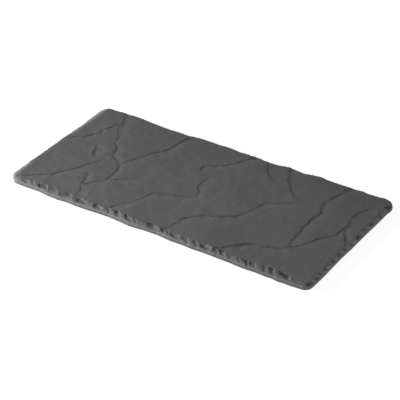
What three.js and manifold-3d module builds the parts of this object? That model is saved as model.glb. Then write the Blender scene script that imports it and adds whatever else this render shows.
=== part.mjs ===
// Slate-look serving tray: one cast ceramic slab on four stick-on silicone feet.
// Millimetres, +Z up. The origin is the middle of the tray on the table top; +X runs along the
// length, and -Y points to the front edge.

import * as THREE from "three";
import { mergeVertices } from "three/addons/utils/BufferGeometryUtils.js";
import Module from "manifold-3d";

// Slab
const LENGTH = 250;
const WIDTH = 120;
const THICKNESS = 6.5;
const CORNER_RADIUS = 6;
const CORNER_STEPS = 6;
const LOWER_ROUND = 1.8;
const LOWER_ROUND_STEPS = 3;
const SIDE_BAND = 1.5;
const SIDE_LEAN = 0.8;
const UPPER_ROUND = 0.7;
const EDGE_STEP = 2.2;
const EDGE_WAVE = 0.35;
const EDGE_WAVE_LENGTH = 34;

// Feet
const FOOT_DIAMETER = 12;
const FOOT_HEIGHT = 1.6;
const FOOT_EDGE_ROUND = 0.5;
const FOOT_INSET = 16;
const FOOT_HOLLOW_RADIUS = 1.4;
const FOOT_GROOVE_RADIUS = 3.2;
const FOOT_GROOVE_WIDTH = 0.6;
const FOOT_RELIEF_DEPTH = 0.4;
const ROUND_STEPS = 28;

// Adhesive discs
const ADHESIVE_SETBACK = 0.5;
const ADHESIVE_THICKNESS = 0.3;
const ADHESIVE_RADIUS = FOOT_DIAMETER / 2 - ADHESIVE_SETBACK;

const SLAB_BOTTOM = FOOT_HEIGHT + ADHESIVE_THICKNESS;
const SLAB_TOP = SLAB_BOTTOM + THICKNESS;

// Clefts of the top face, in plan. The face drops by `drop` on the +X side of the line and climbs
// back over the distance `apron`. `ends` is the share of the drop at the line's two ends. A line that
// runs out at an edge ends just beyond it.
const CLEFT_OVERRUN = 2;
const LEFT = -LENGTH / 2 - CLEFT_OVERRUN;
const REAR = WIDTH / 2 + CLEFT_OVERRUN;
const FRONT = -REAR;
const CLEFTS = [
  {
    drop: 0.8,
    apron: 26,
    ends: [1, 1],
    line: [
      [-107, REAR], [-102, 51], [-98, 43], [-98, 36], [-91, 28], [-87, 18], [-82, 12], [-79, 3], [-71, -1],
      [-66, -8], [-65, -17], [-63, -29], [-66, -34], [-74, -42], [-72, -49], [-66, FRONT],
    ],
  },
  { drop: 0.5, apron: 10, ends: [0, 1], line: [[-79, -27], [-76, -35], [-74, -42]] },
  {
    drop: 0.6,
    apron: 14,
    ends: [1, 1],
    line: [[LEFT, 0], [-117, 10], [-109, 18], [-105, 24], [-107, 29], [-104, 35], [-98, 43]],
  },
  { drop: 0.5, apron: 9, ends: [0, 0], line: [[-97, 9], [-95, 1], [-89, -6]] },
  {
    drop: 0.5,
    apron: 16,
    ends: [1, 0],
    line: [[-124, FRONT], [-117, -55], [-99, -42], [-97, -35], [-89, -24], [-85, -15], [-82, -9]],
  },
  {
    drop: 0.75,
    apron: 24,
    ends: [0, 1],
    line: [[-66, -6], [-65, 0], [-60, 9], [-56, 20], [-49, 31], [-49, 38], [-46, 54], [-42, REAR]],
  },
  { drop: 0.25, apron: 10, ends: [0, 0], line: [[-58, -26], [-50, -19], [-42, -13]] },
  {
    drop: 0.55,
    apron: 22,
    ends: [1, 0],
    line: [[-43, FRONT], [-37, -52], [-28, -37], [-24, -24], [-19, -21], [-2, -14], [3, -9], [3, -5]],
  },
  {
    drop: 0.5,
    apron: 18,
    ends: [0, 1],
    line: [[-11, 18], [-14, 23], [-12, 28], [-5, 34], [3, 41], [6, 46], [13, REAR]],
  },
  { drop: 0.4, apron: 8, ends: [0, 0], line: [[-2, 2], [-2, 7], [-1, 16]] },
  { drop: 0.45, apron: 10, ends: [1, 0], line: [[21, REAR], [28, 48], [32, 43], [44, 34]] },
  { drop: 0.6, apron: 18, ends: [1, 0], line: [[41, REAR], [44, 51], [50, 42], [55, 35], [65, 25]] },
  {
    drop: 0.75,
    apron: 24,
    ends: [1, 0],
    line: [
      [4, FRONT], [10, -55], [11, -39], [16, -33], [25, -26], [40, -17], [44, -12], [46, -3], [50, 9],
      [58, 14], [70, 23],
    ],
  },
  {
    drop: 0.8,
    apron: 20,
    ends: [1, 0],
    line: [
      [92, REAR], [88, 46], [84, 31], [85, 27], [89, 19], [88, 13], [87, -2], [89, -8], [89, -19],
      [91, -29], [90, -34], [92, -44],
    ],
  },
  {
    drop: 0.7,
    apron: 18,
    ends: [1, 0],
    line: [[49, FRONT], [59, -50], [67, -42], [76, -38], [83, -37], [90, -34], [99, -30]],
  },
  {
    drop: 0.65,
    apron: 16,
    ends: [0, 0],
    line: [
      [89, -40], [90, -34], [92, -29], [98, -22], [104, -8], [111, 2], [112, 16], [110, 26], [111, 34],
      [115, 41], [121, 47],
    ],
  },
  { drop: 0.45, apron: 6, ends: [0, 0], line: [[114, 7], [118, 2], [120, -3]] },
];
const CLEFT_HEADROOM = 1;
const CLEFT_RUN_OUT = 0.1;

// Scars where the upper edge has flaked off, from one end of an edge to the other: the step from the
// last scar's middle, the length along the edge and the bite into the top face.
const LONG_EDGE_SCARS = [
  [16, 8, 1.4], [6, 5, 1], [11, 17, 2.2], [18, 12, 1.6], [16, 14, 2.2], [13, 10, 1.6], [7, 5, 1],
  [9, 10, 1.6], [9, 8, 1.4], [8, 8, 1.4], [13, 11, 1.8], [8, 5, 1], [5, 5, 1.2], [6, 8, 1.4],
  [9, 11, 1.8], [8, 6, 1.2], [9, 9, 2], [7, 6, 1.2], [6, 6, 1], [6, 6, 1.4], [8, 6, 1.2],
  [5, 7, 1.4], [7, 10, 1.8], [8, 5, 1.2], [5, 6, 1.2], [13, 18, 2.2],
];
const SHORT_EDGE_SCARS = [
  [9, 6, 1.4], [6, 6, 1], [6, 6, 1.6], [6, 5, 1], [18, 9, 1.2], [17, 8, 1.4], [12, 9, 2.2],
  [15, 8, 1.4], [13, 9, 1.6], [14, 7, 1.2],
];
const SCAR_DROP = THICKNESS - LOWER_ROUND - SIDE_BAND;
const SCAR_STEEP_SHARE = 0.35;
const FAR_FIRST_SCAR = 4;
const CORNER_BITE = 1.2;

const wasm = await Module();
wasm.setup();

function geometryOf(positions, faces) {
  const geometry = new THREE.BufferGeometry();
  geometry.setAttribute("position", new THREE.Float32BufferAttribute(positions, 3));
  geometry.setIndex(faces);
  return geometry;
}

function solidOf(geometry) {
  const bare = geometry.clone();
  bare.deleteAttribute("normal");
  bare.deleteAttribute("uv");
  const merged = mergeVertices(bare);
  return new wasm.Manifold(new wasm.Mesh({
    numProp: 3,
    vertProperties: merged.attributes.position.array,
    triVerts: Uint32Array.from(merged.index.array),
  }));
}

// Rings of points, each anticlockwise as seen from the last one, joined into a closed solid. A fan round
// the ring's middle closes each end.
function loft(rings) {
  const count = rings[0].length;
  const last = count * (rings.length - 1);
  const middles = [rings[0], rings.at(-1)].map((ring) => {
    return ring.reduce((sum, point) => sum.add(point), new THREE.Vector3()).divideScalar(count);
  });
  const points = [...rings.flat(), ...middles];
  const faces = [];
  for (let side = 0; side < count; side += 1) {
    const next = (side + 1) % count;
    faces.push(points.length - 2, next, side);
    faces.push(points.length - 1, last + side, last + next);
    for (let ring = 0; ring < last; ring += count) {
      faces.push(ring + side, ring + next, ring + count + next);
      faces.push(ring + side, ring + count + next, ring + count + side);
    }
  }
  return solidOf(geometryOf(points.flatMap((point) => point.toArray()), faces));
}

function geometryFrom(solid) {
  const mesh = solid.getMesh();
  const geometry = geometryOf(Array.from(mesh.vertProperties), Array.from(mesh.triVerts)).toNonIndexed();
  geometry.computeVertexNormals();
  return geometry;
}

// The scars of one edge. The list starts at entry `first` and runs round again until the edge is full.
function scarsAlong(list, first, run) {
  const scars = [];
  let index = first;
  let middle = list[index][0];
  while (middle < run) {
    const [, length, bite] = list[index];
    const from = middle - length / 2;
    scars.push({ from, deepest: from + SCAR_STEEP_SHARE * length, to: from + length, bite });
    index = (index + 1) % list.length;
    middle += list[index][0];
  }
  return scars;
}

// How far the edge is scooped at a place along it: the share of a full scoop, and the bite.
function scarAt(scars, place) {
  let best = { share: 0, bite: 0 };
  for (const { from, deepest, to, bite } of scars) {
    const ramp = Math.min((place - from) / (deepest - from), (to - place) / (to - deepest));
    const share = Math.sqrt(Math.max(0, ramp * (2 - ramp)));
    if (ramp > 0 && share * bite > best.share * best.bite) {
      best = { share, bite };
    }
  }
  return best;
}

// Columns of the edge, anticlockwise from the right front corner: a point on the slab's widest line, the
// way in from it, and the scar there. The straight sides swing in and out by EDGE_WAVE.
function edgeColumns() {
  const long = { run: LENGTH, reach: WIDTH / 2, list: LONG_EDGE_SCARS };
  const short = { run: WIDTH, reach: LENGTH / 2, list: SHORT_EDGE_SCARS };
  const right = { ...short, along: [0, 1], first: 0 };
  const rear = { ...long, along: [-1, 0], first: FAR_FIRST_SCAR };
  const left = { ...short, along: [0, -1], first: FAR_FIRST_SCAR };
  const front = { ...long, along: [1, 0], first: 0 };
  const columns = [];
  for (const side of [right, rear, left, front]) {
    const along = new THREE.Vector2(...side.along);
    const outward = new THREE.Vector2(along.y, -along.x);
    const scars = scarsAlong(side.list, side.first, side.run);
    const straight = side.run - 2 * CORNER_RADIUS;
    const centre = outward.clone().multiplyScalar(side.reach - CORNER_RADIUS);
    centre.addScaledVector(along, -straight / 2);
    for (let step = 0; step < CORNER_STEPS; step += 1) {
      const turn = step / CORNER_STEPS;
      const angle = turn * Math.PI / 2;
      const inward = along.clone().multiplyScalar(Math.cos(angle)).addScaledVector(outward, -Math.sin(angle));
      const point = centre.clone().addScaledVector(inward, -CORNER_RADIUS);
      columns.push({ point, inward, scar: { share: Math.sin(turn * Math.PI), bite: CORNER_BITE } });
    }
    const pieces = Math.round(straight / EDGE_STEP);
    const waves = Math.round(straight / EDGE_WAVE_LENGTH);
    for (let piece = 0; piece < pieces; piece += 1) {
      const share = piece / pieces;
      const swing = EDGE_WAVE * Math.sin(share * waves * Math.PI) ** 2;
      const point = centre.clone().addScaledVector(outward, CORNER_RADIUS - swing);
      point.addScaledVector(along, share * straight);
      const scar = scarAt(scars, CORNER_RADIUS + share * straight);
      columns.push({ point, inward: outward.clone().negate(), scar });
    }
  }
  return columns;
}

// The slab before its clefts: a rounded lower edge, sides that lean in a little, and an upper edge that
// is softened where it is whole and scooped out where it is scarred.
function slabBlank() {
  const columns = edgeColumns();
  const at = ({ point, inward }, inset, z) => {
    const place = point.clone().addScaledVector(inward, inset);
    return new THREE.Vector3(place.x, place.y, z);
  };
  const rings = [];
  for (let step = 0; step <= LOWER_ROUND_STEPS; step += 1) {
    const angle = step / LOWER_ROUND_STEPS * Math.PI / 2;
    const inset = LOWER_ROUND * (1 - Math.sin(angle));
    const z = SLAB_BOTTOM + LOWER_ROUND * (1 - Math.cos(angle));
    rings.push(columns.map((column) => at(column, inset, z)));
  }
  const whole = [
    { inset: 0, drop: SCAR_DROP },
    { inset: SIDE_LEAN / 2, drop: (SCAR_DROP + UPPER_ROUND) / 2 },
    { inset: SIDE_LEAN, drop: UPPER_ROUND },
    { inset: SIDE_LEAN + UPPER_ROUND, drop: 0 },
  ];
  whole.forEach((row, index) => {
    const angle = index / (whole.length - 1) * Math.PI / 2;
    rings.push(columns.map((column) => {
      const { share, bite } = column.scar;
      const scoop = (SIDE_LEAN + UPPER_ROUND + bite) * Math.sin(angle);
      const inset = THREE.MathUtils.lerp(row.inset, scoop, share);
      const drop = THREE.MathUtils.lerp(row.drop, SCAR_DROP * Math.cos(angle), share);
      return at(column, inset, SLAB_TOP - drop);
    }));
  });
  return loft(rings);
}

// The wedge that a cleft takes out of the top face. Its apron and its faded ends rise past the face.
function cleftCutter({ drop, apron, ends, line }) {
  const points = line.map(([x, y]) => new THREE.Vector2(x, y));
  const span = points.at(-1).clone().sub(points[0]);
  const fall = new THREE.Vector2(span.y, -span.x).normalize();
  if (fall.x < 0) {
    fall.negate();
  }
  const shares = [ends[0], ...points.slice(2).map(() => 1), ends[1]];
  if (span.dot(new THREE.Vector2(fall.y, -fall.x)) < 0) {
    points.reverse();
    shares.reverse();
  }
  const roof = SLAB_TOP + CLEFT_HEADROOM;
  const rings = points.map((point, index) => {
    const far = point.clone().addScaledVector(fall, apron);
    const floor = SLAB_TOP + THREE.MathUtils.lerp(CLEFT_RUN_OUT, -drop, shares[index]);
    return [
      new THREE.Vector3(point.x, point.y, floor),
      new THREE.Vector3(far.x, far.y, SLAB_TOP + CLEFT_RUN_OUT),
      new THREE.Vector3(far.x, far.y, roof),
      new THREE.Vector3(point.x, point.y, roof),
    ];
  });
  return loft(rings);
}

// A foot stands on the table with two flat lands, round a shallow hollow and a grip groove.
function footGeometry() {
  const radius = FOOT_DIAMETER / 2;
  const profile = [
    [0, FOOT_RELIEF_DEPTH],
    [FOOT_HOLLOW_RADIUS, 0],
    [FOOT_GROOVE_RADIUS - FOOT_GROOVE_WIDTH, 0],
    [FOOT_GROOVE_RADIUS - FOOT_GROOVE_WIDTH / 2, FOOT_RELIEF_DEPTH],
    [FOOT_GROOVE_RADIUS + FOOT_GROOVE_WIDTH / 2, FOOT_RELIEF_DEPTH],
    [FOOT_GROOVE_RADIUS + FOOT_GROOVE_WIDTH, 0],
    [radius - FOOT_EDGE_ROUND, 0],
    [radius - FOOT_EDGE_ROUND * (1 - Math.SQRT1_2), FOOT_EDGE_ROUND * (1 - Math.SQRT1_2)],
    [radius, FOOT_EDGE_ROUND],
    [radius, FOOT_HEIGHT],
    [0, FOOT_HEIGHT],
  ];
  const foot = new THREE.LatheGeometry(profile.map(([r, z]) => new THREE.Vector2(r, z)), ROUND_STEPS);
  return foot.rotateX(Math.PI / 2);
}

function adhesiveGeometry() {
  const disc = new THREE.CylinderGeometry(ADHESIVE_RADIUS, ADHESIVE_RADIUS, ADHESIVE_THICKNESS, ROUND_STEPS);
  return disc.rotateX(Math.PI / 2).translate(0, 0, FOOT_HEIGHT + ADHESIVE_THICKNESS / 2);
}

const ceramic = new THREE.MeshStandardMaterial({ color: 0x5a5a5b, roughness: 0.75, metalness: 0 });
const silicone = new THREE.MeshStandardMaterial({ color: 0x232325, roughness: 0.8, metalness: 0 });
const acrylic = new THREE.MeshStandardMaterial({ color: 0xd9d7cf, roughness: 0.5, metalness: 0 });

const group = new THREE.Group();
group.name = "serving_tray";

function add(name, geometry, material) {
  const mesh = new THREE.Mesh(geometry, material);
  mesh.name = name;
  group.add(mesh);
}

const slab = slabBlank().subtract(wasm.Manifold.union(CLEFTS.map(cleftCutter)));
add("tray_slab", geometryFrom(slab), ceramic);
for (const [end, signX] of [["left", -1], ["right", 1]]) {
  for (const [side, signY] of [["front", -1], ["rear", 1]]) {
    const x = signX * (LENGTH / 2 - FOOT_INSET);
    const y = signY * (WIDTH / 2 - FOOT_INSET);
    add(`foot_${side}_${end}`, footGeometry().translate(x, y, 0), silicone);
    add(`adhesive_${side}_${end}`, adhesiveGeometry().translate(x, y, 0), acrylic);
  }
}

export default group;
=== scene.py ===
"""Slate-look serving tray: a cast stoneware slab on four stick-on silicone feet."""
import math

import bmesh
import bpy
import numpy as np
from mathutils import Matrix, Vector, noise


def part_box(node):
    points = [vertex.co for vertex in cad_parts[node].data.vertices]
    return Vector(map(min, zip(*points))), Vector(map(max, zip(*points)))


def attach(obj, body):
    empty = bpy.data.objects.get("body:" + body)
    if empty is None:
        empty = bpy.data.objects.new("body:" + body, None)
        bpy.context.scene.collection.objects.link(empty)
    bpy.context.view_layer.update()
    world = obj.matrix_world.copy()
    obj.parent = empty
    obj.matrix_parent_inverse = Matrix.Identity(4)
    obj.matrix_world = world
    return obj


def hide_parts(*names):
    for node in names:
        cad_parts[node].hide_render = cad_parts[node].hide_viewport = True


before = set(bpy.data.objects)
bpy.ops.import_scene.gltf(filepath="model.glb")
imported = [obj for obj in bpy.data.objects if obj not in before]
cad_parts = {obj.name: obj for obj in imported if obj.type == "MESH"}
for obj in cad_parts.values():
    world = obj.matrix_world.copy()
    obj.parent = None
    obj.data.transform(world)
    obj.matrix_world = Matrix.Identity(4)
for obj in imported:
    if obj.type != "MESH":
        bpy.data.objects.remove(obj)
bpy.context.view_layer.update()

# The slab is pressed in one piece from dark stoneware clay, in a mould taken from split slate, and
# fired matt. Its top keeps the stone's clefts, its upper edge is flaked all round, and below the flakes
# its side is a smooth band with a rounded foot.
mm = 0.001
slab_low, slab_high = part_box("tray_slab")
slab_half = Vector(((slab_high.x - slab_low.x) / 2, (slab_high.y - slab_low.y) / 2))
slab_corner = 6 * mm
slab_straight = slab_half - Vector((slab_corner, slab_corner))
rim_depth = 5 * mm

# Top face: a grid inside the rim, with its corners rounded. Each vertex of the slab notes its painted
# shade in a hollow, its painted highlight, the painted shade of a cleft, and its broad patch of painted
# light and shade.
field_corner = 5 * mm
field_cell = 0.9 * mm
field_half = slab_half - Vector((rim_depth, rim_depth))
field_straight = field_half - Vector((field_corner, field_corner))
skin = bmesh.new()
hollow_shade_layer = skin.verts.layers.float.new("hollow_shade")
highlight_paint_layer = skin.verts.layers.float.new("highlight_paint")
cleft_shade_layer = skin.verts.layers.float.new("cleft")
drift_layer = skin.verts.layers.float.new("drift")
lifted = Matrix.Translation((0, 0, slab_high.z))
bmesh.ops.create_grid(
    skin,
    x_segments=round(2 * field_half.x / field_cell),
    y_segments=round(2 * field_half.y / field_cell),
    size=1,
    matrix=lifted @ Matrix.Diagonal((field_half.x, field_half.y, 1, 1)),
)
for vert in skin.verts:
    u = (abs(vert.co.x) - field_straight.x) / field_corner
    v = (abs(vert.co.y) - field_straight.y) / field_corner
    if u > 0 and v > 0:
        x = field_straight.x + field_corner * u * math.sqrt(1 - v * v / 2)
        y = field_straight.y + field_corner * v * math.sqrt(1 - u * u / 2)
        vert.co.xy = (math.copysign(x, vert.co.x), math.copysign(y, vert.co.y))

# Clefts of the top face, in millimetres: depth, width of the break, width of the slope below it, the
# length over which each end runs out, or 0 where it runs off the slab, and the line in plan. The face
# drops on the right of the line, as one follows it from front to rear.
off_left, off_rear, off_front = -127, 62, -62
clefts = [
    (0.45, 1, 9, (0, 5), [
        (-107, off_rear), (-102, 51), (-98, 43), (-97, 35), (-90.5, 28.5), (-87, 17.5), (-81.5, 12.5),
        (-79, 3), (-73, -1), (-66.5, -6), (-64.5, -10), (-63, -19), (-62.5, -26), (-63.5, -29),
        (-67.5, -34.5), (-74, -41),
    ]),
    (0.9, 1.25, 8, (0, 4), [(-107, off_rear), (-102, 51), (-98, 43)]),
    (0.9, 1.25, 9, (4, 3), [(-63, -19), (-62.5, -26), (-63.5, -29), (-67.5, -34.5), (-74, -41)]),
    (0.43, 1, 9, (4, 0), [(-83, -23), (-77, -30), (-75, -41), (-70, -48), (-66, off_front)]),
    (0.5, 1.15, 14, (0, 2), [
        (off_left, 0), (-117, 10), (-109, 18), (-105, 24), (-107, 29), (-104, 35), (-98, 43),
    ]),
    (0.35, 1, 9, (0, 2), [
        (-124, off_front), (-117, -55), (-99, -42), (-97, -35), (-89, -24), (-85, -15), (-81, -7),
    ]),
    (1.5, 2.5, 12, (1, 1), [
        (-96, 11), (-95.5, 8), (-94, 2), (-93, -1.4), (-91, -4.2), (-87.6, -6.2),
    ]),
    (0.6, 1.15, 9, (2, 0), [
        (-67, -6), (-64, 1), (-60, 9), (-56, 20), (-47.5, 33.5), (-48, 38), (-46, 51), (-40, off_rear),
    ]),
    (0.3, 0.9, 10, (4, 10), [(-62, -26), (-58, -25), (-50, -18), (-41, -11)]),
    (0.4, 0.9, 9, (0, 3), [
        (-43, off_front), (-37, -52), (-28, -37), (-24, -24), (-19, -21), (-2, -14), (3, -9), (2, -4),
        (-2, 2), (-2, 7), (-1, 18),
    ]),
    (0.45, 0.9, 10, (5, 0), [
        (-9, 17), (-14, 23), (-12, 28), (-5, 34), (3, 41), (6, 46), (13, off_rear),
    ]),
    (0.5, 1.2, 24, (0, 12), [(21, off_rear), (28, 48), (32, 43), (46, 33)]),
    (0.6, 1.2, 26, (0, 8), [(41, off_rear), (44, 51), (50, 42), (55, 35), (66, 24)]),
    (0.5, 1, 9, (0, 8), [
        (4, off_front), (10, -55), (11, -39), (16, -33), (25, -26), (40, -17), (44, -12), (46, -3),
        (50, 9), (58, 14), (70, 24),
    ]),
    (0.9, 1.3, 9, (0, 5), [
        (92, off_rear), (88, 46), (84, 31), (85, 27), (89, 19), (88, 13), (87, -2), (89, -8), (89, -19),
        (91, -29), (90, -34),
    ]),
    (0.9, 1.2, 16, (0, 1), [
        (46, off_front), (57, -50), (65, -41), (71, -38), (76, -37), (82, -35), (88, -33.5), (91, -30),
    ]),
    (0.65, 1.2, 16, (6, 8), [
        (90, -34), (92, -29), (98, -22), (104, -8), (111, 2), (112, 16), (110, 26), (111, 34),
        (115, 41), (121, 47),
    ]),
    (1.2, 1.2, 8, (1, 5), [(112, 15), (114, 7), (118, 1), (124, -8)]),
    (2.4, 1.2, 4, (3, 3), [(18, 56), (12, 56.5), (6, 56)]),
]
cleft_scale = 0.72
slope_run_out = 6

# The lines stray by noise, given by its shift, size and amount, and depth and width vary between two
# shares. A narrow cleft along the stone's split gets a dark line of painted shade, and one across
# it, or a broad one, only a share of that shade. The strip below a cleft gets a painted highlight,
# less so on a long slope.
cleft_strays = ((0, 9, 1.2), (50, 2.6, 0.6), (20, 1.3, 0.3))
depth_swing, depth_shares, width_shares = 1.3, (0.7, 1.35), (0.75, 1.7)
split_way, step_shade = (0.81, 0.59), 0.4
crack_core, crack_share, narrow_limit = 1.1, 0.7, 1.5
apron_highlight_slope = 9
least_share = 0.05


def smooth_rise(value):
    """A soft step from 0 to 1 as the value goes from 0 to 1."""
    value = np.clip(value, 0, 1)
    return value * value * (3 - 2 * value)


def between(value, start, rise, end, fall):
    """A soft mask, which rises from 0 at the start and falls back to 0 at the end."""
    return smooth_rise((value - start) / rise) * smooth_rise((end - value) / fall)


# A fixed seed, because the one that noise_vector starts with changes from run to run.
noise.seed_set(1)


def noise_at(points, size, amount):
    """Smooth wandering vectors of about `amount`, which change over the distance `size`."""
    return np.array([noise.noise_vector(Vector(point) / size) for point in points]) * amount


def along_cleft(line, x, y):
    """How each point lies to a cleft's line.

    Its distance, the same with a minus on the line's left, the line's lengths before and after it, and
    the share of painted crack shade there: full along the stone's split, and less across it.
    """
    tie = 1e-6
    gap = np.full(len(x), np.inf)
    reach = np.zeros(len(x))
    side = np.zeros(len(x))
    run = np.zeros(len(x))
    crack_shade_share = np.zeros(len(x))
    total = 0
    for (ax, ay), (bx, by) in zip(line, line[1:]):
        dx, dy = bx - ax, by - ay
        length = math.hypot(dx, dy)
        along = np.clip(((x - ax) * dx + (y - ay) * dy) / length ** 2, 0, 1)
        apart = np.hypot(x - ax - along * dx, y - ay - along * dy)
        across = ((x - ax) * dy - (y - ay) * dx) / length
        closer = (apart < gap - tie) | ((apart < gap + tie) & (abs(across) > reach))
        gap = np.where(closer, apart, gap)
        reach = np.where(closer, abs(across), reach)
        side = np.where(closer, np.sign(across), side)
        run = np.where(closer, total + along * length, run)
        cross_split = ((dx * split_way[1] - dy * split_way[0]) / length) ** 2
        crack_shade_share = np.where(closer, 1 - (1 - step_shade) * cross_split, crack_shade_share)
        total += length
    return gap, gap * side, (run, total - run), crack_shade_share


def cleft_relief(points):
    """What the clefts do at each point of the top face.

    How far they let it down, how near the next one is, the painted shade of its crack, and the painted
    highlight on the strip below it.
    """
    strayed = points + sum(noise_at(points + shift, size, amount) for shift, size, amount in cleft_strays)
    x, y = strayed[:, 0], strayed[:, 1]
    vary = noise_at(points + 90, size=7, amount=1)
    vigour = np.clip(1 + depth_swing * vary[:, 0], *depth_shares)
    swelling = np.clip(1 + vary[:, 1], *width_shares)
    sunk = np.zeros(len(points))
    near = np.full(len(points), np.inf)
    crack_shade = np.zeros(len(points))
    apron_highlight = np.zeros(len(points))
    for depth, breadth, apron, ends, line in clefts:
        if line[-1][1] < line[0][1]:
            line, ends = line[::-1], ends[::-1]
        gap, signed, lengths, crack_shade_share = along_cleft(line, x, y)
        share = np.ones(len(points))
        settled = np.ones(len(points))
        for end, from_end in zip(ends, lengths):
            if end:
                share = np.minimum(share, smooth_rise(from_end / end))
                settled = np.minimum(settled, smooth_rise(from_end / (end + slope_run_out)))
        width = breadth * swelling
        fall = depth * cleft_scale * settled * vigour
        foot = smooth_rise(signed / width + 0.5)
        slope = np.clip(1 - np.maximum(signed, 0) / apron, 0, 1) ** 2
        sunk = np.maximum(sunk, fall * foot * slope)
        near = np.minimum(near, np.where(share > least_share, gap, np.inf))
        sharp = share * min(1, narrow_limit / breadth ** 2)
        # Painted shade along the cleft's crack.
        dark = smooth_rise(crack_core - abs(signed) / (crack_share * width))
        crack_shade = np.maximum(crack_shade, dark * sharp * crack_shade_share)
        # A painted highlight on the strip below the cleft.
        below = between(signed, start=0, rise=3, end=10, fall=7)
        apron_highlight = np.maximum(apron_highlight, below * sharp * min(1, apron_highlight_slope / apron))
    return sunk, near, crack_shade * vigour, apron_highlight


# Finer cells along the clefts and the rim.
fine_reach = 1.5
centres = np.array([face.calc_center_median() for face in skin.faces]) / mm
near_cleft = cleft_relief(centres)[1] < fine_reach
cells = [face for face, close in zip(skin.faces, near_cleft) if close]
cells += [face for face in skin.faces if any(vert.is_boundary for vert in face.verts)]
fine_edges = list(dict.fromkeys(edge for face in cells for edge in face.edges))
bmesh.ops.subdivide_edges(skin, edges=fine_edges, cuts=1, use_grid_fill=True)

# Rim: the grid's border is drawn out over the lip, down the side and under the slab. Its profile goes
# by inset and drop in millimetres, and reach is the way over it from where the lip turns down.
lip_inset, lip_height = 2.4, 1.5
lean_inset, band_drop = 0.6, 3.2
lower_round = 1.8
under_margin = 4
rim_step = 0.5
thickness = (slab_high.z - slab_low.z) / mm
profile = [(rim_depth / mm, 0), (lip_inset, 0)]
profile += [
    (lean_inset + (lip_inset - lean_inset) * (1 - math.sin(turn)), lip_height * (1 - math.cos(turn)))
    for turn in (math.radians(angle) for angle in (30, 60, 90))
]
profile += [(0, band_drop), (0, thickness - lower_round)]
profile += [
    (lower_round * (1 - math.cos(turn)), thickness - lower_round * (1 - math.sin(turn)))
    for turn in (math.radians(angle) for angle in (18, 36, 54, 72, 90))
]
profile.append((under_margin, thickness))
rows = []
reach = lip_inset - rim_depth / mm
for (inset, drop), (next_inset, next_drop) in zip(profile, profile[1:]):
    length = math.hypot(next_inset - inset, next_drop - drop)
    pieces = max(1, round(length / rim_step))
    for piece in range(1, pieces + 1):
        share = piece / pieces
        reach += length / pieces
        rows.append((inset + (next_inset - inset) * share, drop + (next_drop - drop) * share, reach))

# Each border vertex starts a column, with its point on the slab's outline, the way outward, and the run
# round the slab, anticlockwise from the left end of the front side.
rear_right_turn, rear_left_turn = 0.75 * math.pi, 1.25 * math.pi
border = [edge for edge in skin.edges if edge.is_boundary]
column = {}
for vert in dict.fromkeys(vert for edge in border for vert in edge.verts):
    inner = Vector((
        max(-field_straight.x, min(field_straight.x, vert.co.x)),
        max(-field_straight.y, min(field_straight.y, vert.co.y)),
    ))
    outward = (vert.co.xy - inner).normalized()
    centre = Vector((
        inner.x * slab_straight.x / field_straight.x,
        inner.y * slab_straight.y / field_straight.y,
    ))
    turn = (math.atan2(outward.y, outward.x) + math.pi / 2 + 1e-6) % math.tau
    run = turn * slab_corner
    run += centre.x + slab_straight.x if turn < rear_right_turn else 3 * slab_straight.x - centre.x
    run += centre.y + slab_straight.y if turn < rear_left_turn else 3 * slab_straight.y - centre.y
    column[tuple(vert.co)] = (centre + outward * slab_corner, outward, run / mm)
rim = {}
for inset, drop, reach in rows:
    drawn = bmesh.ops.extrude_edge_only(skin, edges=border)["geom"]
    border = [item for item in drawn if isinstance(item, bmesh.types.BMEdge) and item.is_boundary]
    moved = {}
    for vert in (item for item in drawn if isinstance(item, bmesh.types.BMVert)):
        edge_point, outward, run = column[tuple(vert.co)]
        vert.co.xy = edge_point - outward * inset * mm
        vert.co.z = slab_high.z - drop * mm
        moved[tuple(vert.co)] = (edge_point, outward, run)
        rim[vert] = (outward, run, reach)
    column = moved
bmesh.ops.contextual_create(skin, geom=border)
bmesh.ops.recalc_face_normals(skin, faces=skin.faces)

# Flakes broken from the upper edge, side by side, in millimetres: where each starts from the middle of
# its side, running to the right as one faces the side, its length and its depth.
front_flakes = [
    (-114, 9, 0.9), (-105.5, 4, 0.6), (-100.5, 12, 1.5), (-91, 13, 0.6), (-80, 14, 0.9), (-67, 3, 0.5),
    (-64, 10, 1.4), (-51, 11, 1.2), (-39.6, 5, 0.6), (-34.5, 10, 1.1), (-23, 7, 1.1), (-17, 6, 0.7),
    (-5, 11, 1.2), (6.5, 4.5, 0.9), (11.4, 4, 0.6), (14.5, 11, 1.1), (23.5, 8, 1.0), (34, 6, 0.7),
    (39.5, 11, 1.4), (50, 4.5, 0.8), (54.5, 6, 1.0), (61, 9, 0.7), (69, 5.5, 0.8), (73.5, 6, 1.1),
    (78, 8, 1.0), (88.5, 5, 0.8), (93.5, 8, 1.0), (102, 11, 1.5), (112, 9, 0.5),
]
right_flakes = [
    (-61, 9, 1.7), (-51, 5, 1.1), (-45, 4, 1), (-39, 5, 1.2), (-33, 4, 0.9), (-28, 5, 1),
    (-20.5, 7, 1.5), (-12, 5, 0.9), (-4, 6, 1.1), (4, 11, 1.7), (17, 5, 0.9), (24, 8, 1.2),
    (37.5, 6, 1.1), (49, 9, 1.4),
]
rear_flakes = [
    (-117, 8, 0.9), (-108, 5, 0.7), (-101, 11, 1.3), (-88, 8, 0.8), (-79, 6, 1.1), (-71, 12, 1.2),
    (-57, 5, 0.7), (-50, 9, 1.3), (-39, 7, 0.8), (-31, 11, 1.1), (-18, 6, 0.9), (-10, 5, 0.7),
    (-3, 12, 1.4), (11, 8, 0.9), (20, 6, 1.1), (28, 10, 1.2), (40, 5, 0.8), (47, 9, 1), (57, 12, 1.4),
    (71, 6, 0.7), (78, 9, 1.2), (89, 5, 0.9), (96, 11, 1.1), (108, 7, 1),
]
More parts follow.
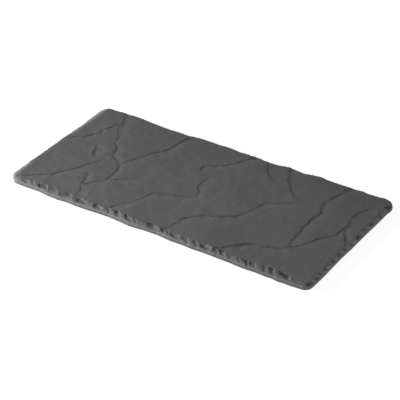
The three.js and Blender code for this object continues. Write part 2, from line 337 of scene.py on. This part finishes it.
left_flakes = [
    (-54, 8, 1), (-45, 5, 0.8), (-39, 10, 1.2), (-27, 7, 0.9), (-18, 11, 1.3), (-5, 6, 0.8),
    (3, 9, 1.1), (14, 5, 0.7), (21, 11, 1.2), (34, 7, 0.9), (43, 9, 1.1),
]
quarter = slab_corner / mm * math.pi / 2
long_side, short_side = 2 * slab_straight.x / mm, 2 * slab_straight.y / mm

# Each side's flakes, the run at its middle, the reach where they begin and end, and the share of each
# flake's length that gets painted shadow.
sides = [
    (front_flakes, long_side / 2, -0.8, 4.4, 0.35),
    (right_flakes, long_side + quarter + short_side / 2, 1, 5.2, 0.5),
    (rear_flakes, 1.5 * long_side + 2 * quarter + short_side, 1.4, 5.2, 0.35),
    (left_flakes, 2 * long_side + 3 * quarter + 1.5 * short_side, 1.4, 5.2, 0.35),
]
rim_verts = list(rim)
rim_places = np.array([vert.co for vert in rim_verts]) / mm
rim_outward = np.array([rim[vert][0] for vert in rim_verts])
rim_run = np.array([rim[vert][1] for vert in rim_verts])
rim_reach = np.array([rim[vert][2] for vert in rim_verts])
sway = noise_at(rim_places, size=5, amount=1.8) + noise_at(rim_places + 80, size=1.6, amount=0.9)
run = rim_run + sway[:, 0]
reach = rim_reach + sway[:, 1]
patchy = smooth_rise(0.55 + noise_at(rim_places + 30, size=2.5, amount=1.4)[:, 0])

# A flake goes in steeply over its wall, stays level to the end of its floor and runs out from there. It
# slants as it goes down and narrows to both ends. A deep one gets a painted shadow in its hollow, and a
# painted highlight on the crest at its far end.
flake_wall, flake_floor, flake_slant, flake_pivot = 0.2, 0.45, 0.9, 2
narrow_above, narrow_below = 0.8, 1.8
shadow_lift, shadow_fade, shadow_dark = 0.6, 0.4, 0.9
shallow, deepening = 0.3, 0.9
crest_depth, crest_highlight = 1.3, 0.65
flaked = np.zeros(len(rim_verts))
hollow_shade = np.zeros(len(rim_verts))
highlight_paint = np.zeros(len(rim_verts))
for flakes, middle, flake_top, flake_bottom, dark_share in sides:
    for start, length, depth in flakes:
        along = (run - middle - start - flake_slant * (reach - flake_pivot)) / length
        taper = np.clip(2 * abs(along - flake_floor), 0, 1) ** 2
        top, bottom = flake_top + narrow_above * taper, flake_bottom - narrow_below * taper
        window = between(reach, start=top, rise=0.9, end=bottom, fall=2)
        scoop = between(along, start=0, rise=flake_wall, end=1, fall=1 - flake_floor)
        flaked = np.maximum(flaked, depth * scoop * window)
        # Painted shadow over the flake's wall and floor, and a painted highlight on its crest.
        shadow = between(along, start=0, rise=0.12, end=dark_share + shadow_fade, fall=shadow_fade)
        shadow *= between(reach, start=top - shadow_lift, rise=0.7, end=bottom, fall=2)
        hollow_shade = np.maximum(hollow_shade, shadow_dark * smooth_rise((depth - shallow) / deepening) * shadow)
        crest = between(along, start=0.55, rise=0.2, end=1, fall=0.2) * window * patchy
        highlight_paint = np.maximum(highlight_paint, crest_highlight * smooth_rise(depth / crest_depth) * crest)

# The chipped front lip gets painted shade, and the band below it a painted line of shade at its foot
# and painted specks of highlight. The lower edge of the lip's painted shade strays less than its
# upper one.
chip_shade, foot_line_shade, speck_highlight = 0.55, 0.3, 0.25
front = np.clip(-rim_outward[:, 1], 0, 1)
lower_reach = 0.3 * reach + 0.7 * rim_reach
chip_zone_shade = smooth_rise((reach + 0.1) / 1.2) * smooth_rise((4 - lower_reach) / 0.7)
chip_zone_shade *= 0.7 + 0.3 * patchy
hollow_shade = np.maximum(hollow_shade, chip_shade * chip_zone_shade * front)
hollow_shade += foot_line_shade * smooth_rise((rim_reach - 5) / 0.9) * front
speck_highlights = patchy * between(rim_reach, start=2.6, rise=1, end=5.5, fall=1) * front
highlight_paint = np.maximum(highlight_paint, speck_highlight * speck_highlights)

# The left lip gets a painted highlight, by a share that goes by the place along it, and so does its
# front corner.
left_roll_and_highlight = [(-60, 1), (-43, 1), (-36, 0.2), (8, 0.2), (16, 0.7), (50, 1), (58, 0.5)]
highlight_corner, highlight_corner_size, corner_highlight = (-123, -58), 7, 0.6
left_highlight = between(rim_reach, start=-1.4, rise=1.2, end=3, fall=1.5) * (0.5 + 0.5 * patchy)
left_highlight *= np.interp(rim_places[:, 1], *zip(*left_roll_and_highlight)) * np.clip(-rim_outward[:, 0], 0, 1)
corner_gap = np.hypot(rim_places[:, 0] - highlight_corner[0], rim_places[:, 1] - highlight_corner[1])
corner_highlight_share = smooth_rise(1.4 - corner_gap / highlight_corner_size) * smooth_rise((7 - rim_reach) / 2)
highlight_paint = np.maximum(highlight_paint, np.maximum(left_highlight, corner_highlight * corner_highlight_share))

# Bends of the sides, in millimetres: the place along a side and how far it stands out there.
front_bends = [
    (-113, 0.3), (-99, -0.2), (-90, 0.8), (-81, 1.1), (-74, 0.4), (-66, 0.9), (-56, 0.5), (-45, 0),
    (-37, -0.5), (-28, 0.2), (-19, 1), (-8, -0.2), (4, -0.5), (16, 0.8), (24, 0.3), (32, 0.8),
    (42, 0.3), (50, 0.6), (58, 0.5), (64, 0.4), (69, 0.8), (74, 0.8), (78, 0.9), (84, 0.4), (88, 0.7),
    (92, 0.7), (97, 0.4), (101, 1.1), (106, 0.6), (111, 0.8), (116, 0.4),
]
right_bends = [
    (-50, 0.1), (-20, -0.2), (10, 0), (36, 0.3), (46, 0.3), (51, 0.2), (57, 1.2), (60, 1.8),
]
rear_bends = [
    (-113, 0.9), (-110, 1.5), (-102, 1.4), (-94, 1.4), (-87, 0.6), (-76, 0.1), (-67, -0.9), (-57, -0.6),
    (-46, -0.4), (-39, 1.3), (-25, 0.4), (-11, 1), (-2, -0.2), (7, 0.4), (14, 0.6), (21, -0.5),
    (31, 0), (40, 1.6), (48, 0.8), (53, 0.2), (59, 1.6), (66, 2.6), (74, 1.5), (83, 1.1), (91, 1.6),
    (97, 2.5), (104, 1.2), (111, 1.6), (116, 2.7), (121, 2.1),
]
left_bends = [
    (-59, -0.8), (-53, 1.5), (-48, 1.8), (-36, 1.1), (-10, 0.7), (8, 0.5), (16, 1.5), (30, 1.7),
    (52, 2.7),
]
wave = noise_at(rim_places, size=17, amount=0.35)[:, 0]
for bends, axis, way in (
    (front_bends, 1, -1),
    (right_bends, 0, 1),
    (rear_bends, 1, 1),
    (left_bends, 0, -1),
):
    facing = np.clip(rim_outward[:, axis] * way, 0, 1) ** 2
    wave += np.interp(rim_places[:, 1 - axis], *zip(*bends)) * facing

# Fine roughness on the lip, and then the rim takes its shape: a flake goes both inward and down.
rough_size, rough_depth, rough_least = 3.5, 0.22, -0.3
flake_in, flake_down = 0.85, 0.65
rough = np.array([noise.fractal(Vector(place) / rough_size, 0.9, 2.1, 3) for place in rim_places])
rough_share = between(rim_reach, start=-2.5, rise=1.5, end=4.5, fall=1.5)
flaked += np.maximum(rough, rough_least) * rough_depth * rough_share
outer_share = between(rim_reach, start=-3.5, rise=5, end=12, fall=4)
places = rim_places.copy()
places[:, :2] += rim_outward * (wave * outer_share - flaked * flake_in)[:, None]
places[:, 2] -= flaked * flake_down * smooth_rise(1.6 - rim_reach / 3)
# Each rim vertex keeps the painted shade of its hollow and its painted highlight.
for vert, place, dark, highlight_level in zip(rim_verts, places, hollow_shade, highlight_paint):
    vert.co = Vector(place) * mm
    vert[hollow_shade_layer] = dark
    vert[highlight_paint_layer] = highlight_level

# Relief of the top face, which runs out over the lip. Beside the clefts it swells a little, rolls off
# where the left edge is worn and rises at both ends. Broad patches of painted light and shade drift
# over it.
swells = ((38, 0.5), (13, 0.18), (6, 0.13), (3.5, 0.08))
face_drop = 0.25
relief_depth = 3
roll_depth, roll_width, roll_power = 1.8, 4, 1.2
end_height, end_width = 0.3, 14
apron_highlight_share = 0.075
drift_size, drift_shift = 110, Vector((6.2, -48.1, 0))
all_places = np.array([vert.co for vert in skin.verts]) / mm
sunk, _, crack_shade, apron_highlight = cleft_relief(all_places)
swell = sum(
    height * np.array([noise.noise(Vector(place) / size) for place in all_places])
    for size, height in swells
)
left_inset = all_places[:, 0] + slab_half.x / mm
left_roll = roll_depth * np.clip(1 - left_inset / roll_width, 0, 1) ** roll_power
left_roll *= np.interp(all_places[:, 1], *zip(*left_roll_and_highlight))
end_inset = slab_half.x / mm - abs(all_places[:, 0])
end_rise = end_height * np.clip(1 - end_inset / end_width, 0, 1) ** 2
top_share = smooth_rise(1 - (slab_high.z / mm - all_places[:, 2]) / relief_depth)
lifts = (swell - face_drop - sunk - left_roll + end_rise) * top_share
# Painted crack shade and painted highlight on the top face.
top_crack_shade, apron_highlights = crack_shade * top_share, apron_highlight_share * apron_highlight * top_share
# Broad painted light and shade, up to 6 % darker or paler.
drift = 0.5 + np.array([noise.noise(Vector(place) / drift_size + drift_shift) for place in all_places])
for vert, lift, dark, highlight_level, tone in zip(skin.verts, lifts, top_crack_shade, apron_highlights, drift):
    vert.co.z += lift * mm
    vert[cleft_shade_layer] = dark
    vert[highlight_paint_layer] = max(vert[highlight_paint_layer], highlight_level)
    vert[drift_layer] = tone


def add_node(tree, kind, inputs=None, **settings):
    """A node with its settings made and its inputs set, or linked where a socket is given."""
    node = tree.nodes.new(kind)
    for name, value in settings.items():
        setattr(node, name, value)
    for name, value in (inputs or {}).items():
        if isinstance(value, bpy.types.NodeSocket):
            tree.links.new(value, node.inputs[name])
        else:
            node.inputs[name].default_value = value
    return node


def spread(tree, value, low, high, reach=(0.3, 0.7)):
    """The value's reach, spread from low to high."""
    inputs = {"Value": value, "From Min": reach[0], "From Max": reach[1], "To Min": low, "To Max": high}
    return add_node(tree, "ShaderNodeMapRange", inputs).outputs["Result"]


def math_node(tree, operation, *values):
    """The result of an operation on values or sockets."""
    return add_node(tree, "ShaderNodeMath", dict(enumerate(values)), operation=operation).outputs[0]


def shaded(tree, colour, shade):
    """The colour, lighter or darker by the shade."""
    inputs = {0: colour, "Scale": shade}
    return add_node(tree, "ShaderNodeVectorMath", inputs, operation="SCALE").outputs[0]


def bump(tree, height, strength, distance):
    """The normal of a surface with this fine relief."""
    inputs = {"Height": height, "Strength": strength, "Distance": distance}
    return add_node(tree, "ShaderNodeBump", inputs).outputs["Normal"]


# Fine grain that the clay, the tape and the rubber all have, each at its own size.
grain = bpy.data.node_groups.new("fine_grain", "ShaderNodeTree")
grain.interface.new_socket("Place", in_out="INPUT", socket_type="NodeSocketVector")
grain.interface.new_socket("Grains per metre", in_out="INPUT", socket_type="NodeSocketFloat")
grain.interface.new_socket("Contrast", in_out="INPUT", socket_type="NodeSocketFloat")
grain.interface.new_socket("Shade", in_out="OUTPUT", socket_type="NodeSocketFloat")
grain.interface.new_socket("Height", in_out="OUTPUT", socket_type="NodeSocketFloat")
grain_in = add_node(grain, "NodeGroupInput").outputs
grain_inputs = {
    "Vector": grain_in["Place"], "Scale": grain_in["Grains per metre"], "Detail": 3, "Roughness": 0.65,
}
grain_height = add_node(grain, "ShaderNodeTexNoise", grain_inputs).outputs["Fac"]
grain_swing = math_node(grain, "SUBTRACT", grain_height, 0.5)
grain_shade = math_node(grain, "MULTIPLY_ADD", grain_swing, grain_in["Contrast"], 1)
add_node(grain, "NodeGroupOutput", {"Shade": grain_shade, "Height": grain_height})


def fine_grain(tree, place, per_metre, contrast):
    """The outputs of the fine grain, at this size and contrast."""
    inputs = {"Place": place, "Grains per metre": per_metre, "Contrast": contrast}
    return add_node(tree, "ShaderNodeGroup", inputs, node_tree=grain).outputs


# Stoneware: mottle and streaks are drawn out across the slab, and each mask of painted shade, painted
# highlight or painted light and shade makes the clay darker or paler, from its first share to its second.
stoneware_grey = (0.096, 0.096, 0.096)
noise_turn = (0, 0, 0.3)
mottle_scale, streak_scale = (110, 40, 60), (700, 110, 300)
masks = (("hollow_shade", 1, 0.4), ("highlight_paint", 1, 2), ("cleft", 1, 0.53), ("drift", 0.94, 1.06))
slate_material = bpy.data.materials.new("matt_stoneware")
slate_material.use_nodes = True
slate = slate_material.node_tree
slate_shader = slate.nodes["Principled BSDF"].inputs
slate_place = add_node(slate, "ShaderNodeTexCoord").outputs["Object"]
slate_grain = fine_grain(slate, slate_place, per_metre=600, contrast=0.4)
mottle_place = add_node(
    slate, "ShaderNodeMapping", {"Vector": slate_place, "Rotation": noise_turn, "Scale": mottle_scale}
).outputs[0]
mottle = add_node(
    slate, "ShaderNodeTexNoise", {"Vector": mottle_place, "Scale": 1, "Detail": 4}
).outputs["Fac"]
streak_place = add_node(
    slate, "ShaderNodeMapping", {"Vector": slate_place, "Rotation": noise_turn, "Scale": streak_scale}
).outputs[0]
streak = add_node(
    slate, "ShaderNodeTexNoise", {"Vector": streak_place, "Scale": 1, "Detail": 3, "Distortion": 0.6}
).outputs["Fac"]
mottle_shade = spread(slate, mottle, low=0.94, high=1.06)
streak_shade = spread(slate, streak, low=0.94, high=1.06)
shade = math_node(slate, "MULTIPLY", mottle_shade, streak_shade)
shade = math_node(slate, "MULTIPLY", shade, slate_grain["Shade"])
# The masks paint shade and highlight into the clay's colour.
for name, first, second in masks:
    mask = add_node(slate, "ShaderNodeAttribute", attribute_name=name).outputs["Fac"]
    shade = math_node(slate, "MULTIPLY", shade, spread(slate, mask, first, second, reach=(0, 1)))
slate_height = math_node(slate, "MULTIPLY_ADD", slate_grain["Height"], 0.4, streak)
slate_normal = bump(slate, slate_height, strength=0.5, distance=0.12 * mm)
slate.links.new(shaded(slate, stoneware_grey, shade), slate_shader["Base Color"])
slate.links.new(spread(slate, mottle, low=0.76, high=0.9), slate_shader["Roughness"])
slate.links.new(slate_normal, slate_shader["Normal"])
slate_shader["Specular IOR Level"].default_value = 0.2


def add_piece(name, shape, material):
    """The finished shape as an object in the scene."""
    mesh = bpy.data.meshes.new(name)
    shape.to_mesh(mesh)
    shape.free()
    mesh.materials.append(material)
    piece = bpy.data.objects.new(name, mesh)
    bpy.context.scene.collection.objects.link(piece)
    return piece


slate_slab = add_piece("slate_slab", skin, slate_material)
slate_slab.data.shade_smooth()
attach(slate_slab, "root")
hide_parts("tray_slab")

# Each foot is held by a die-cut disc of pale double-sided foam tape, pressed between the slab's
# underside and the foot so that its rim swells a little.
tape_colour = (0.69, 0.67, 0.62)
tape_material = bpy.data.materials.new("foam_tape")
tape_material.use_nodes = True
tape = tape_material.node_tree
tape_shader = tape.nodes["Principled BSDF"].inputs
tape_place = add_node(tape, "ShaderNodeTexCoord").outputs["Object"]
tape_grain = fine_grain(tape, tape_place, per_metre=4000, contrast=0.3)
tape_normal = bump(tape, tape_grain["Height"], strength=0.4, distance=0.03 * mm)
tape.links.new(shaded(tape, tape_colour, tape_grain["Shade"]), tape_shader["Base Color"])
tape.links.new(spread(tape, tape_grain["Height"], low=0.4, high=0.6), tape_shader["Roughness"])
tape.links.new(tape_normal, tape_shader["Normal"])
disc_swell = 0.08 * mm
round_steps = 72
corners = ("front_left", "front_right", "rear_left", "rear_right")
for corner in corners:
    low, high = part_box("adhesive_" + corner)
    centre = (low + high) / 2
    height = high.z - low.z
    disc = bmesh.new()
    bmesh.ops.create_circle(
        disc, cap_ends=True, segments=round_steps, radius=(high.x - low.x) / 2 - disc_swell,
        matrix=Matrix.Translation((centre.x, centre.y, low.z)),
    )
    raised = bmesh.ops.extrude_face_region(disc, geom=disc.faces[:])["geom"]
    raised = [item for item in raised if isinstance(item, bmesh.types.BMVert)]
    bmesh.ops.translate(disc, verts=raised, vec=(0, 0, height))
    walls = [edge for edge in disc.edges if abs(edge.verts[0].co.z - edge.verts[1].co.z) > height / 2]
    bmesh.ops.subdivide_edges(disc, edges=walls, cuts=3)
    for vert in disc.verts:
        outward = vert.co.xy - centre.xy
        swelled = outward.length + disc_swell * math.sin(math.pi * (vert.co.z - low.z) / height)
        vert.co.xy = centre.xy + outward.normalized() * swelled
    bmesh.ops.recalc_face_normals(disc, faces=disc.faces)
    tape_disc = add_piece("tape_disc_" + corner, disc, tape_material)
    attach(tape_disc, "root")
    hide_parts("adhesive_" + corner)

# The feet are moulded in soft dark silicone: low round pads with a dimple and a ring groove in the
# sole, each pressed onto its tape disc. Their soles are scuffed and pick up dust.
silicone_colour, dust_colour = (0.017, 0.017, 0.019), (0.075, 0.072, 0.068, 1)
sole_heights = (0.05 * mm, 0.5 * mm)
rubber_material = bpy.data.materials.new("scuffed_silicone")
rubber_material.use_nodes = True
rubber = rubber_material.node_tree
rubber_shader = rubber.nodes["Principled BSDF"].inputs
rubber_place = add_node(rubber, "ShaderNodeTexCoord").outputs["Object"]
rubber_grain = fine_grain(rubber, rubber_place, per_metre=2500, contrast=0.5)
rubber_rise = add_node(rubber, "ShaderNodeSeparateXYZ", {0: rubber_place}).outputs["Z"]
sole = spread(rubber, rubber_rise, low=1, high=0, reach=sole_heights)
dust_noise = add_node(
    rubber, "ShaderNodeTexNoise", {"Vector": rubber_place, "Scale": 700, "Detail": 4}
).outputs["Fac"]
dust_spots = spread(rubber, dust_noise, low=0, high=1, reach=(0.42, 0.68))
dust = math_node(rubber, "MULTIPLY", dust_spots, sole)
rubber_tint = shaded(rubber, silicone_colour, rubber_grain["Shade"])
rubber_colour = add_node(
    rubber, "ShaderNodeMix", {"Factor": dust, 6: rubber_tint, 7: dust_colour}, data_type="RGBA"
).outputs[2]
rubber_roughness = spread(rubber, dust, low=0.5, high=0.85, reach=(0, 1))
rubber_normal = bump(rubber, rubber_grain["Height"], strength=0.4, distance=0.03 * mm)
rubber.links.new(rubber_colour, rubber_shader["Base Color"])
rubber.links.new(rubber_roughness, rubber_shader["Roughness"])
rubber.links.new(rubber_normal, rubber_shader["Normal"])
foot_profile = [
    (0, 0.4), (1.4, 0), (2.6, 0), (2.9, 0.4), (3.5, 0.4), (3.8, 0), (5.4, 0), (6, 0.6), (6, 1.6),
    (0, 1.6),
]
foot_rounding = 0.15 * mm
foot_crease = 0.3
for corner in corners:
    low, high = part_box("foot_" + corner)
    centre = (low + high) / 2
    pad = bmesh.new()
    outline = [
        pad.verts.new((centre.x + radius * mm, centre.y, low.z + rise * mm))
        for radius, rise in foot_profile
    ]
    strokes = [pad.edges.new(pair) for pair in zip(outline, outline[1:])]
    bmesh.ops.spin(
        pad, geom=outline + strokes, cent=centre, axis=(0, 0, 1), angle=math.tau, steps=round_steps,
        use_merge=True,
    )
    bmesh.ops.remove_doubles(pad, verts=pad.verts, dist=0.001 * mm)
    bmesh.ops.recalc_face_normals(pad, faces=pad.faces)
    rings = [edge for edge in pad.edges if edge.calc_face_angle() > foot_crease]
    bmesh.ops.bevel(
        pad, geom=rings, offset=foot_rounding, segments=3, profile=0.5, affect="EDGES", material=-1,
        clamp_overlap=True,
    )
    silicone_foot = add_piece("silicone_foot_" + corner, pad, rubber_material)
    silicone_foot.data.shade_smooth()
    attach(silicone_foot, "root")
    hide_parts("foot_" + corner)

# Plain studio: a white table that runs out to a white room, one wide low lamp from the left, a weak one
# on the right, such as a pale card would give back, and a little light from all round.
table_reach = 20
just_below = Matrix.Translation((0, 0, -0.05 * mm))


def seen_direct(tree):
    """1 where the camera, a reflection or a clear piece looks at it, 0 for the light that it gives."""
    path = add_node(tree, "ShaderNodeLightPath").outputs
    seen = math_node(tree, "MAXIMUM", path["Is Camera Ray"], path["Is Glossy Ray"])
    return math_node(tree, "MAXIMUM", seen, path["Is Transmission Ray"])


table_material = bpy.data.materials.new("white_table")
table_material.use_nodes = True
table = table_material.node_tree
table_shader = table.nodes["Principled BSDF"]
table_shader.inputs["Base Color"].default_value = (0.5, 0.5, 0.5, 1)
table_shader.inputs["Roughness"].default_value = 0.9
table_matt = add_node(table, "ShaderNodeBsdfDiffuse", {"Color": (0.35, 0.35, 0.35, 1)}).outputs[0]
table_glow = add_node(table, "ShaderNodeEmission", {"Strength": 0.85}).outputs[0]
table_white = add_node(table, "ShaderNodeAddShader", {0: table_matt, 1: table_glow}).outputs[0]
table_mix = add_node(
    table, "ShaderNodeMixShader",
    {"Fac": seen_direct(table), 1: table_shader.outputs[0], 2: table_white},
).outputs[0]
table.links.new(table_mix, table.nodes["Material Output"].inputs["Surface"])
sheet = bmesh.new()
bmesh.ops.create_grid(sheet, x_segments=1, y_segments=1, size=table_reach, matrix=just_below)
table_top = add_piece("table_top", sheet, table_material)

room = bpy.data.worlds.new("white_room")
bpy.context.scene.world = room
room.use_nodes = True
room_tree = room.node_tree
room_light = room_tree.nodes["Background"].inputs
room_light["Color"].default_value = (1, 1, 1, 1)
room_way = add_node(room_tree, "ShaderNodeTexCoord").outputs["Generated"]
room_rise = add_node(room_tree, "ShaderNodeSeparateXYZ", {0: room_way}).outputs["Z"]
room_glow = spread(room_tree, room_rise, low=1.2, high=0.2, reach=(0, 0.45))
room_strength = spread(room_tree, seen_direct(room_tree), low=room_glow, high=1, reach=(0, 1))
room_tree.links.new(room_strength, room_light["Strength"])

lamp_size = 0.35
for name, power, way, rise, distance in (
    ("left_lamp", 6.6, (-0.76, -0.65), 16, 0.57),
    ("right_card", 2, (0.95, -0.3), 6, 0.6),
):
    lamp_data = bpy.data.lights.new(name, "AREA")
    lamp_data.energy = power
    lamp_data.size = lamp_size
    lamp = bpy.data.objects.new(name, lamp_data)
    lamp_way = Vector((*way, math.tan(math.radians(rise)))).normalized()
    lamp.location = lamp_way * distance
    lamp.rotation_euler = lamp_way.to_track_quat("Z", "Y").to_euler()
    bpy.context.scene.collection.objects.link(lamp)

# The camera stands where a fit to the tray's four edge lines in the photo puts it.
azimuth, elevation = math.radians(33.152), math.radians(32.782)
camera_data = bpy.data.cameras.new("photo_camera")
camera_data.sensor_width = 36
camera_data.lens = 140.99
camera = bpy.data.objects.new("photo_camera", camera_data)
back = Vector((
    math.sin(azimuth) * math.cos(elevation),
    -math.cos(azimuth) * math.cos(elevation),
    math.sin(elevation),
))
camera.location = (0.51810, -0.79186, 0.60548 + slab_low.z)
camera.rotation_euler = back.to_track_quat("Z", "Y").to_euler()
bpy.context.scene.collection.objects.link(camera)
bpy.context.scene.camera = camera
bpy.context.scene.view_settings.view_transform = "Standard"
